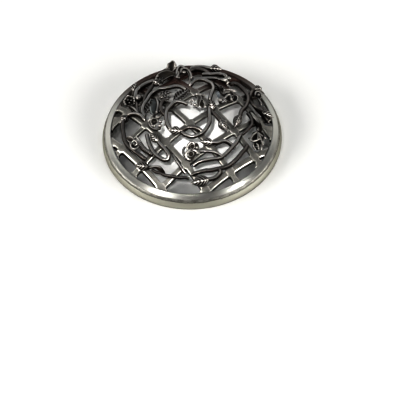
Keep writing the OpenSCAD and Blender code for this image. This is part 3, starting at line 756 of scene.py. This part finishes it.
# CAD node: what its flower is made of, on the dome. petals: (route, width, cup, shine),
# curls: (diameter, route), cups and balls: (centre, radius)
FLOWERS = {
    "flower_back": {
        "petals": [
            ([(-13, 46, 7.5), (-12.5, 48.5, 10.5), (-11.8, 50, 13), (-11.5, 51, 15)],
             6.5, 0.4, 0.1),
            ([(-22.5, 42, 4), (-19, 43, 5.5), (-14.5, 43.5, 6.5), (-9, 42, 6)], 6.4, 0.25, -0.15)],
        "curls": [
            (1.1, [(-11.5, 51, 15.2), (-10, 50, 13.2), (-9.2, 48, 10.8), (-10.5, 46, 8.5)]),
            (1.1, [(-11.5, 51, 15.2), (-13.2, 50.2, 13), (-14.8, 48.8, 10.5), (-17, 48, 8)]),
            (1.6, [(-23, 42.5, 6), (-20.5, 46.5, 6), (-17.5, 49, 6.5), (-16, 50, 7.5)]),
            (1.4, [(-8, 46, 6), (-7.5, 42, 6), (-9, 37.5, 5.5)]),
            (1.5, [(-6, 44, 5), (-5, 49.5, 6), (-1.5, 49, 6), (1, 42, 6), (1.5, 35.5, 5)])],
        "cups": [],
        "balls": [((-15.5, 47.5, 8), 1.0), ((-13.7, 47.3, 8.4), 0.9), ((-3.5, 43.5, 6), 1.4)]},
    "flower_left": {
        "petals": [([(-41.5, -15, 3.6), (-43.5, -13.2, 4.2), (-45.8, -11.2, 4)], 4.4, 0.3, 0.1)],
        "curls": [
            (1.4, [(-43.2, -16.5, 4), (-43, -19, 4), (-41.2, -21.5, 4), (-38.5, -21.8, 3.8),
                   (-36.8, -20, 3.6)]),
            (1.3, [(-42, -17, 4.6), (-40.5, -15.8, 4.8), (-38.8, -17.5, 4.8),
                   (-38.7, -19.5, 4.6), (-40.2, -19.8, 4.6)]),
            (1.4, [(-39, -13.5, 4), (-37.5, -15, 4), (-36, -18, 3.6)])],
        "cups": [((-40.4, -18.4, 4), 2.6)], "balls": [((-40.4, -18, 4), 1.3)]},
    "flower_centre_left": {
        "petals": [([(-24, 3, 2.6), (-25, 0, 3.2), (-25.5, -3, 3)], 5, 0.3, -0.1)],
        "curls": [
            (1.4, [(-28.2, -6.3, 4.6), (-26.5, -8, 4.6), (-24.8, -7.8, 4.4)]),
            (1.6, [(-30, -2, 2.6), (-28.5, -0.5, 3.6), (-27, 1.5, 3.4)])],
        "cups": [((-26, -4.5, 5), 2.5)],
        "balls": [((-23.5, -1, 4.5), 1.7), ((-22, -8.5, 4), 1.5), ((-18.5, -7.5, 3.6), 0.9),
                  ((-21.5, -4.5, 3.4), 1.2)]},
    "flower_upper_centre": {
        "petals": [
            ([(5, 17, 4), (6.5, 14, 4.6), (5.7, 9, 4.8), (5.5, 5, 4)], 3.4, 0.25, 0.35),
            ([(8.3, 12, 3.6), (8, 8, 4), (8.3, 4.5, 3.4)], 5, 0.3, 0.0)],
        "curls": [
            (1.5, [(9, 10.5, 4.2), (10.2, 7.5, 4.6), (10, 4.2, 4)]),
            (1.2, [(-1, 10.5, 4), (1, 12.7, 4.4), (2.7, 10.2, 4)]),
            (1.8, [(2, 17, 3.4), (4.5, 18, 4), (8, 17.5, 4), (10, 15, 3.6)])],
        "cups": [((7.3, 10, 3.4), 2.4)],
        "balls": [((9.5, 16.3, 4.4), 1.2), ((3, 7.2, 4), 1.3), ((4.2, 5.6, 4), 1.0),
                  ((0.5, 9, 3.4), 0.9)]},
    "flower_upper_right": {
        "petals": [
            ([(23.5, 21.5, 5), (28, 22.5, 5.6), (33, 23.5, 5)], 2.6, 0.2, 0.4),
            ([(26, 21.5, 3.4), (27.5, 17.5, 3.2), (28, 13, 3)], 8.5, 0.3, -0.25)],
        "curls": [
            (1.5, [(24.3, 14, 4.6), (26, 17, 5.2), (28, 18.3, 5.2), (28.7, 16.5, 5),
                   (29, 14, 4.4)]),
            (1.4, [(23, 16.5, 4), (23.5, 13.5, 3.8), (25.5, 11.5, 3.4)])],
        "cups": [((31.2, 15.5, 5), 2.4)], "balls": [((24, 19.5, 4.4), 1.1)]},
    "flower_right_rim": {
        "petals": [([(45.5, 29.5, 4.6), (49, 31, 5.4), (53, 29.5, 4.6)], 2.8, 0.2, 0.35),
                   ([(47, 28, 3.6), (48.5, 25, 3.8), (49, 21.5, 3.2)], 5, 0.3, -0.1)],
        "curls": [
            (1.4, [(46, 24, 4.5), (47, 28, 5.2), (50, 28.5, 5), (51, 25, 4.4)]),
            (1.6, [(48, 22, 3.6), (49.5, 19, 3.6), (50, 16, 3)])],
        "cups": [], "balls": [((48.5, 25.5, 4.6), 1.2)]},
    "flower_right": {
        "petals": [([(47, -10, 2.6), (46, -16, 2.4), (45.5, -24, 2)], 9.5, 0.25, -0.35)],
        "curls": [
            (1.4, [(46, -11, 4), (42.5, -15, 4.2), (41, -18.5, 4), (42.5, -19.5, 4),
                   (45.5, -18, 4.2), (48.5, -15.5, 4)]),
            (1.4, [(46, -11.5, 4), (49, -13.5, 4.2), (52, -14.5, 3.6)]),
            (1.4, [(46.5, -12, 4.2), (48.5, -17, 4.2), (49.5, -20.5, 3.6)]),
            (1.1, [(46.3, -12, 4.2), (46.2, -14.5, 4.4), (45.8, -17.5, 4.2)]),
            (1.3, [(44.5, -20, 3.4), (46, -21.5, 3.6), (46, -24, 3.2)]),
            (1.2, [(43, -20, 3.2), (42.6, -22.5, 3.4), (44, -25, 2.8)]),
            (1.2, [(47.5, -20, 3.2), (48.4, -22.2, 3.4), (47.3, -24.5, 2.8)])],
        "cups": [], "balls": [((40, -17.5, 3.8), 0.8), ((49.5, -9.5, 3.5), 1.0),
                              ((44.6, -22.6, 3.2), 0.8)]},
    "flower_lower_centre": {
        "petals": [([(1.5, -24, 2.6), (0, -30, 2.4), (-1.5, -37, 2)], 8.5, 0.25, -0.35)],
        "curls": [
            (1.6, [(-3.5, -30.5, 4), (-3.4, -27.5, 4.4), (-1.5, -25.3, 4.6), (0, -24.7, 4.4),
                   (1.8, -26, 3.8)]),
            (1.7, [(-1.2, -29.8, 4.2), (-3, -30.8, 4.4), (-4.7, -32.8, 4.4),
                   (-4.4, -34.8, 4), (-3.2, -36, 3.6), (-1.6, -36.6, 3.2)]),
            (2.0, [(-0.5, -29.5, 3.4), (2, -30.5, 3.6), (5, -31, 3.2)])],
        "cups": [((0, -27.4, 3.8), 1.7), ((-1.2, -32.8, 4), 2.0)],
        "balls": [((3.2, -28.6, 4), 1.1), ((3.8, -32.6, 4.2), 1.6)]},
}


def build_flower(node, parts):
    bm = bmesh.new()
    for route, width, cup, shine in parts["petals"]:
        add_petal(bm, route, width, cup, shine)
    for diameter, route in parts["curls"]:
        add_stem(bm, [on_dome(p) for p in route], diameter, end_span=0.8, shine=0.25)
    for centre, radius in parts["cups"]:
        add_cup(bm, on_dome(centre), radius)
    for centre, radius in parts["balls"]:
        add_ball(bm, on_dome(centre), radius)
    finish_piece(node + "_bloom", bm, [FLOWER], [node])


def add_leaf(bm, foot, tip, width, lift, lean):
    """A pointed leaf blade from foot to tip in mm, with a raised midrib and a toothed edge."""
    axis = (tip - foot).normalized()
    side, up = axes(axis)
    side, up = (side * math.cos(lean) + up * math.sin(lean),
                up * math.cos(lean) - side * math.sin(lean))
    length = (tip - foot).length
    rings, wear_and_painted_light = [], []
    for i in range(LEAF_RINGS + 1):
        v = i / LEAF_RINGS
        half = width / 2 * math.sin(math.pi * (0.04 + 0.94 * v)**0.8)
        half *= 1 + 0.06 * math.sin(v * length * 3.0)
        spot = foot + axis * length * v + up * lift * math.sin(math.pi * v)
        ring, values = [], []
        for k in range(LEAF_SIDES):
            a = 2 * math.pi * k / LEAF_SIDES
            share = math.cos(a)
            rib = math.exp(-(share / 0.22)**2)
            vein = 0.5 + 0.5 * math.cos(2 * math.pi * v * length / VEIN_PITCH - 4 * abs(share))
            dish = 0.22 * share**2 * half
            y = math.sin(a) * (0.45 + 0.22 * rib + 0.16 * vein) + dish
            ring.append(spot + side * half * share + up * y)
            values.append(-0.2 + 0.8 * rib + 0.8 * vein**2 + 0.8 * abs(share)**6)
        rings.append(ring)
        wear_and_painted_light.append(values)
    add_skin(bm, rings, wear_and_painted_light)


# Small cast details that the CAD leaves out, so they stand for no node. Two of the leaves are
# painted shade: dark leaves laid low in windows in place of the shaded floor there.
# Leaves: name, foot, tip, width, lift, lean
LEAVES = [
    ("leaf_upper_left", (-21.5, 20, 3), (-13, 22.5, 3.4), 6.5, 0.6, 0.2),
    ("leaf_left_of_ring", (-19, 17, 3.2), (-17, 24, 3.6), 3.4, 0.5, -0.3),
    ("leaf_back_flower", (-11, 53, 4), (-10, 57, 4.6), 3.0, 0.4, 0.0),
    ("leaf_right_rim", (48, 13, 3), (57, 4.5, 3.4), 4.2, 0.6, 0.2),
    ("leaf_back_left", (-25, 38, 3.2), (-17, 42.5, 3.4), 4.0, 0.6, 0.1),
    ("leaf_left_of_centre", (-18, 14.5, 3), (-13.5, 18, 3.4), 3.6, 0.4, 0.0),
    # A dark leaf laid low in the window as painted shade, in place of the shaded floor seen there.
    ("shade_leaf_top_middle", (-11.5, 15.5, 1), (-0.5, 26, 1.6), 7.5, 0.5, 0.0),
    ("leaf_behind_lily", (-31.5, 8.5, 1), (-24.5, 19, 1.2), 6.5, 0.4, 0.0),
    # A dark leaf laid low in the window as painted shade, in place of the shaded floor seen there.
    ("shade_leaf_top_right", (24, 22, 1), (16.5, 33, 1.6), 6.5, 0.5, 0.0),
]

# Smooth lilies: name, route, width, cup, shine
LILIES = [
    ("lily_left", [(-27, 20, 1.2), (-25.5, 13, 2.2), (-27, 5, 1.4)], 9.5, -0.45, 0.1),
    ("lily_upper_right", [(19.5, 22, 3.4), (20, 17.5, 4.2), (20.8, 13.5, 3.6)], 2.6, 0.3, 0.6),
]

# Beads: centre, radius
BEADS = {
    "beads_right": [((20, -9.3, 3.4), 1.2), ((24, -7, 3.8), 1.2), ((21, 13, 3.4), 1.8)],
    "beads_back": [
        ((-3, 47.5, 3.4), 1.3), ((-7.5, 40.5, 3), 1.3), ((22, 47, 3.4), 1.2),
        ((26, 40.5, 4), 1.2)],
    "beads_left": [((-36.5, 24.5, 3), 2.6)],
}

# Small strands: name, diameter, route
STRANDS = [
    ("strand_back_left", 2.4, [(-20, 38, 1.6), (-18.5, 41, 2.6), (-15, 43.5, 3), (-11, 44.5, 2.6)]),
    ("strand_left_of_lily", 2.2, [(-24, 20, 1.6), (-23, 15, 2.4), (-23, 10, 2.6), (-24, 5, 1.6)]),
    ("strand_lower_curl", 1.8, [(-5, -26, 2), (-6.5, -29.5, 3), (-5.5, -33.5, 3), (-2.5, -36, 2)]),
    ("strand_centre_left", 2.0, [(-30, -2, 1.8), (-28.5, -7, 3), (-25, -10, 3), (-21.5, -9, 2)]),
]


def build_details():
    for name, foot, tip, width, lift, lean in LEAVES:
        bm = bmesh.new()
        add_leaf(bm, on_dome(foot), on_dome(tip), width, lift, lean)
        finish_piece(name, bm, [BUD])
    for name, route, width, cup, shine in LILIES:
        bm = bmesh.new()
        add_petal(bm, route, width, cup, shine, thick=1.2)
        finish_piece(name, bm, [LILY])
    for name, beads in BEADS.items():
        bm = bmesh.new()
        for centre, radius in beads:
            add_ball(bm, on_dome(centre), radius)
            x, y, up = centre
            add_stem(bm, [on_dome((x, y, up - 2 * radius)), on_dome(centre)], radius * 1.3)
        finish_piece(name, bm, [FLOWER])
    for name, diameter, route in STRANDS:
        bm = bmesh.new()
        add_stem(bm, [on_dome(p) for p in route], diameter)
        finish_piece(name, bm, [BRIGHT_VINE])


# CAD node: foot, mouth's middle, mouth's diameter, finish
TRUMPETS = {
    "flower_left_trumpet": ((-43, 27.5, 1.6), (-43, 21.5, 5.4), 8.4, FLOWER),
    "flower_right_trumpet": ((19.5, 38.5, 3.2), (28.5, 35.5, 4), 7, BRIGHT_VINE),
}
HORN_SIDES, HORN_STEPS = 32, 14
HORN_FOOT_R = 0.9
HORN_WALL = 0.65
THROAT_STEP = 5
LOBES = 5
HORN_BEADS, HORN_BEAD_R = 3, 0.75


def horn_outline(mouth):
    """Radii and shares of length, up a horn's outside, over its lip and down into its throat."""
    steps = [i / HORN_STEPS for i in range(HORN_STEPS + 1)]
    outside = [(HORN_FOOT_R + (mouth / 2 - HORN_FOOT_R) * t**1.8, t) for t in steps]
    inside = [(max(r - HORN_WALL, 0.15), t) for r, t in outside[:THROAT_STEP - 1:-1]]
    return outside + inside


def build_trumpet(node, foot, tip, mouth, finish):
    """A horn with a wavy flared lip, a hollow throat and beads at its mouth."""
    low, high = on_dome(foot), on_dome(tip)
    axis = (high - low).normalized()
    side, up = axes(axis)
    length = (high - low).length
    rings, wear_and_painted_light = [], []
    for radius, t in horn_outline(mouth):
        ring, values = [], []
        for k in range(HORN_SIDES):
            turn = 2 * math.pi * k / HORN_SIDES
            wavy = 1 + 0.10 * t**3 * math.cos(LOBES * turn)
            spoke = side * math.cos(turn) + up * math.sin(turn)
            sway = -0.9 * t**4 * math.cos(LOBES * turn)
            ring.append(low + axis * (length * t + sway - 0.5 * t**4) + spoke * radius * wavy)
            # Painted light: the horn's top is brightened as a painted highlight; the lip is rubbed
            # bright.
            values.append(0.15 + 0.7 * max(0.0, spoke.z) + 0.8 * max(0.0, t - 0.85) / 0.15)
        rings.append(ring)
        wear_and_painted_light.append(values)
    bm = bmesh.new()
    add_skin(bm, rings, wear_and_painted_light)
    for k in range(HORN_BEADS):
        turn = 0.6 + 2 * math.pi * k / HORN_BEADS
        spoke = side * math.cos(turn) + up * math.sin(turn)
        add_ball(bm, low + axis * length * 0.93 + spoke * mouth * 0.16, HORN_BEAD_R)
    finish_piece(node + "_horn", bm, [finish], [node])


def build_flowers():
    for node, parts in FLOWERS.items():
        build_flower(node, parts)
    for node, facts in TRUMPETS.items():
        build_trumpet(node, *facts)


# ---------------------------------------------------------------- camera, lights and floor

CAMERA_ELEVATION = math.radians(52.17)
CAMERA_ROLL = math.radians(-2.626)
CAMERA_DISTANCE = 2.0
CAMERA_LENS = 253.9
# Where the camera aims, in metres from the middle of the grate's underside in its own view
AIM_RIGHT, AIM_DOWN = 0.00562, 0.04349
# Below 1 it deepens the shadows and spreads the metal's mid tones
PRINT_GAMMA = 0.6
# The spot's aim on the grate, in mm, and its cone, in degrees
SNOOT_AIM = (-1.7, -16, 24)
SNOOT_CONE = 2.9
FLOOR_HALF = 3.0

# Softboxes: name, direction from the grate, distance, size in metres, watts
SOFTBOXES = [
    ("side_left", (-0.88, -0.27, 0.40), 1.4, (1.4, 0.5), 22),
    ("side_right", (0.84, -0.42, 0.34), 1.4, (1.4, 0.5), 23),
    ("back_left", (-0.50, 0.78, 0.38), 1.4, (1.6, 0.6), 2.0),
    ("back_right", (0.50, 0.78, 0.38), 1.4, (1.6, 0.6), 2.0),
    ("strip_left", (-0.37, -0.22, 0.90), 1.3, (0.07, 0.12), 2.2),
    ("strip_right", (0.444, -0.156, 0.882), 1.3, (0.06, 0.10), 1.5),
]


def build_camera():
    """A camera in front of the grate, rolled a little and aimed off its centre."""
    sine, cosine = math.sin(CAMERA_ELEVATION), math.cos(CAMERA_ELEVATION)
    level_up = Vector((0, sine, cosine))
    right = Vector((1, 0, 0)) * math.cos(CAMERA_ROLL) + level_up * math.sin(CAMERA_ROLL)
    back = Vector((0, -cosine, sine))
    up = back.cross(right)
    data = bpy.data.cameras.new("camera")
    data.lens = CAMERA_LENS
    camera = link_object("camera", data)
    matrix = camera.matrix_world.copy()
    for column, axis in enumerate((right, up, back)):
        for row in range(3):
            matrix[row][column] = axis[row]
    target = right * AIM_RIGHT - up * AIM_DOWN
    matrix.translation = target + back * CAMERA_DISTANCE
    camera.matrix_world = matrix
    bpy.context.scene.camera = camera


def place_light(name, data, target, direction, distance):
    """Put a light at a distance from its target, facing it."""
    light = link_object(name, data)
    towards = Vector(direction).normalized()
    light.location = target + towards * distance
    light.rotation_euler = towards.to_track_quat("Z", "Y").to_euler()


def add_softbox(name, direction, distance, size, power):
    data = bpy.data.lights.new(name, "AREA")
    data.shape = "RECTANGLE"
    data.size, data.size_y = size
    data.energy = power
    place_light(name, data, Vector(), direction, distance)


def add_snoot(name, direction, distance, power):
    """A soft-edged spot that lights the floor under the middle of the dome."""
    data = bpy.data.lights.new(name, "SPOT")
    data.energy = power
    data.spot_size = math.radians(SNOOT_CONE)
    data.spot_blend = 0.35
    data.shadow_soft_size = 0.02
    place_light(name, data, Vector(SNOOT_AIM) * MM, direction, distance)


def build_world():
    """A dim room with pale walls to the left and right, darker in front than behind."""
    world = bpy.data.worlds.new("room")
    bpy.context.scene.world = world
    world.use_nodes = True
    tree = world.node_tree
    tree.nodes.clear()
    place = add(tree, "TexCoord").outputs["Generated"]
    parts = add(tree, "SeparateXYZ", {"Vector": place})
    ceiling = blend(tree, remap(tree, parts.outputs["Y"], -0.1, 0.6),
                    (0.10, 0.10, 0.10), (0.56, 0.59, 0.64))
    left = blend(tree, remap(tree, parts.outputs["X"], -0.35, -0.8), ceiling, (1.05, 1.04, 1.0))
    walls = blend(tree, remap(tree, parts.outputs["X"], 0.35, 0.85), left, (0.75, 0.74, 0.68))
    colour = blend(tree, remap(tree, parts.outputs["Z"], 0.35, 0.75), walls, ceiling)
    background = add(tree, "Background", {"Color": colour, "Strength": 0.7})
    output = add(tree, "OutputWorld")
    tree.links.new(background.outputs[0], output.inputs[0])


def build_floor():
    bm = bmesh.new()
    bmesh.ops.create_grid(bm, x_segments=8, y_segments=8, size=FLOOR_HALF)
    mesh = bpy.data.meshes.new("floor")
    bm.to_mesh(mesh)
    bm.free()
    mesh.materials.append(floor_paint())
    floor = link_object("floor", mesh)


def build_studio():
    build_camera()
    build_world()
    build_floor()
    for softbox in SOFTBOXES:
        add_softbox(*softbox)
    add_snoot("centre_snoot", (-0.06, -0.56, 0.83), 1.3, 90)
    tone = bpy.context.scene.view_settings
    tone.view_transform = "Standard"
    tone.gamma = PRINT_GAMMA


build_studio()
build_rim()
build_lattice()
build_vines()
build_buds()
build_flowers()
build_details()
